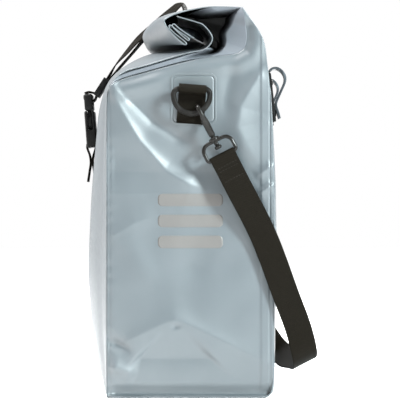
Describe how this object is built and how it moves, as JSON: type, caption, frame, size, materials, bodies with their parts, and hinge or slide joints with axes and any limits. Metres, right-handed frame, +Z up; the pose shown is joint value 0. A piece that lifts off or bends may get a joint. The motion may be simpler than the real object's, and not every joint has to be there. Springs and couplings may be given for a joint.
{
  "type": "pannier bag",
  "caption": "Upright roll-top pannier bag in coated fabric with sprung rack hooks, a buckled closure strap and a shoulder strap snapped to a D-ring on each side.",
  "frame": {"origin": "middle of the base's underside, between the side gussets", "axes": "+Z up, +Y towards the bicycle rack, -Y to the outer front face, X along the bicycle"},
  "size_m": [0.3504, 0.2704, 0.4568],
  "materials": {
    "coated_fabric": "satin coated fabric, blue-grey",
    "webbing": "woven black webbing",
    "stiffener_board": "black board",
    "reflective_film": "fine-beaded grey film",
    "ring_plastic": "moulded dark grey",
    "black_plastic": "moulded black",
    "black_metal": "gloss black",
    "spring_steel": "dark satin steel"
  },
  "bodies": {
    "root": {"front_panel": "coated_fabric", "back_panel": "coated_fabric", "rolled_collar": "coated_fabric", "base_panel": "coated_fabric", "side_gusset_right": "coated_fabric", "side_gusset_left": "coated_fabric", "back_board": "stiffener_board", "base_board": "stiffener_board", "collar_stiffener": "stiffener_board", "reflective_bar_right_upper": "reflective_film", "reflective_bar_right_middle": "reflective_film", "reflective_bar_right_lower": "reflective_film", "reflective_bar_left_upper": "reflective_film", "reflective_bar_left_middle": "reflective_film", "reflective_bar_left_lower": "reflective_film", "ring_patch_right": "coated_fabric", "ring_tab_right": "webbing", "rack_hook_plate_right": "black_plastic", "ring_patch_left": "coated_fabric", "ring_tab_left": "webbing", "rack_hook_plate_left": "black_plastic", "plate_rivet_right_lower": "black_metal", "plate_rivet_right_upper": "black_metal", "plate_rivet_left_lower": "black_metal", "plate_rivet_left_upper": "black_metal", "closure_strap": "webbing", "buckle_anchor_strap": "webbing", "front_anchor_patch": "coated_fabric", "back_anchor_patch": "coated_fabric", "buckle_female": "black_plastic"},
    "strap": {"shoulder_strap": "webbing", "swivel_ring_right": "black_metal", "swivel_ring_left": "black_metal", "strap_end_right": "webbing", "strap_end_left": "webbing"},
    "adjuster": {"strap_adjuster": "black_plastic"},
    "buckle_male": {"buckle_male": "black_plastic"},
    "keeper": {"strap_keeper": "black_plastic"},
    "d_ring_right": {"d_ring_right": "ring_plastic"},
    "snap_hook_right": {"snap_hook_right": "black_metal"},
    "hook_gate_right": {"hook_gate_right": "black_metal"},
    "rack_hook_right": {"rack_hook_right": "spring_steel"},
    "buckle_prong_right": {"buckle_prong_right": "black_plastic"},
    "d_ring_left": {"d_ring_left": "ring_plastic"},
    "snap_hook_left": {"snap_hook_left": "black_metal"},
    "hook_gate_left": {"hook_gate_left": "black_metal"},
    "rack_hook_left": {"rack_hook_left": "spring_steel"},
    "buckle_prong_left": {"buckle_prong_left": "black_plastic"}
  },
  "joints": [
    {"name": "shoulder_strap_swing", "type": "hinge", "parent": "root", "child": "strap", "pos_m": [0, 0.002, 0.338], "axis": [1, 0, 0], "range_deg": [0, 45]},
    {"name": "strap_adjuster_slide", "type": "slide", "parent": "strap", "child": "adjuster", "axis": [0, -0.4497, 0.8932], "range_m": [-0.02, 0.02]},
    {"name": "buckle_release", "type": "slide", "parent": "root", "child": "buckle_male", "axis": [0, -0.0767, 0.9971], "range_m": [0, 0.038], "deforming": ["closure_strap"]},
    {"name": "strap_keeper_slide", "type": "slide", "parent": "buckle_male", "child": "keeper", "axis": [0, 0.5388, 0.8425], "range_m": [0, 0.012]},
    {"name": "d_ring_tilt_right", "type": "hinge", "parent": "root", "child": "d_ring_right", "pos_m": [0.166, 0.002, 0.3452], "axis": [0, -1, 0], "range_deg": [0, 3]},
    {"name": "snap_hook_swivel_right", "type": "hinge", "parent": "strap", "child": "snap_hook_right", "pos_m": [0.166, 0.02204, 0.29883], "axis": [0, 0.4555, -0.8902], "range_deg": [-12, 12]},
    {"name": "hook_gate_open_right", "type": "hinge", "parent": "snap_hook_right", "child": "hook_gate_right", "pos_m": [0.1606, 0.01858, 0.3056], "axis": [0, 0.8902, 0.4555], "range_deg": [0, 20], "stiffness_Nm_per_rad": 0.05},
    {"name": "rack_hook_flex_right", "type": "hinge", "parent": "root", "child": "rack_hook_right", "pos_m": [0.095, 0.09046, 0.36899], "axis": [1, 0, 0], "range_deg": [0, 8], "stiffness_Nm_per_rad": 2},
    {"name": "buckle_prong_squeeze_right", "type": "hinge", "parent": "buckle_male", "child": "buckle_prong_right", "pos_m": [0.0105, -0.12125, 0.3266], "axis": [0, 0.9971, 0.0767], "range_deg": [0, 8], "stiffness_Nm_per_rad": 0.2},
    {"name": "d_ring_tilt_left", "type": "hinge", "parent": "root", "child": "d_ring_left", "pos_m": [-0.166, 0.002, 0.3452], "axis": [0, 1, 0], "range_deg": [0, 3]},
    {"name": "snap_hook_swivel_left", "type": "hinge", "parent": "strap", "child": "snap_hook_left", "pos_m": [-0.166, 0.02204, 0.29883], "axis": [0, 0.4555, -0.8902], "range_deg": [-12, 12]},
    {"name": "hook_gate_open_left", "type": "hinge", "parent": "snap_hook_left", "child": "hook_gate_left", "pos_m": [-0.1606, 0.01858, 0.3056], "axis": [0, -0.8902, -0.4555], "range_deg": [0, 20], "stiffness_Nm_per_rad": 0.05},
    {"name": "rack_hook_flex_left", "type": "hinge", "parent": "root", "child": "rack_hook_left", "pos_m": [-0.095, 0.09046, 0.36899], "axis": [1, 0, 0], "range_deg": [0, 8], "stiffness_Nm_per_rad": 2},
    {"name": "buckle_prong_squeeze_left", "type": "hinge", "parent": "buckle_male", "child": "buckle_prong_left", "pos_m": [-0.0105, -0.12125, 0.3266], "axis": [0, -0.9971, -0.0767], "range_deg": [0, 8], "stiffness_Nm_per_rad": 0.2}
  ]
}
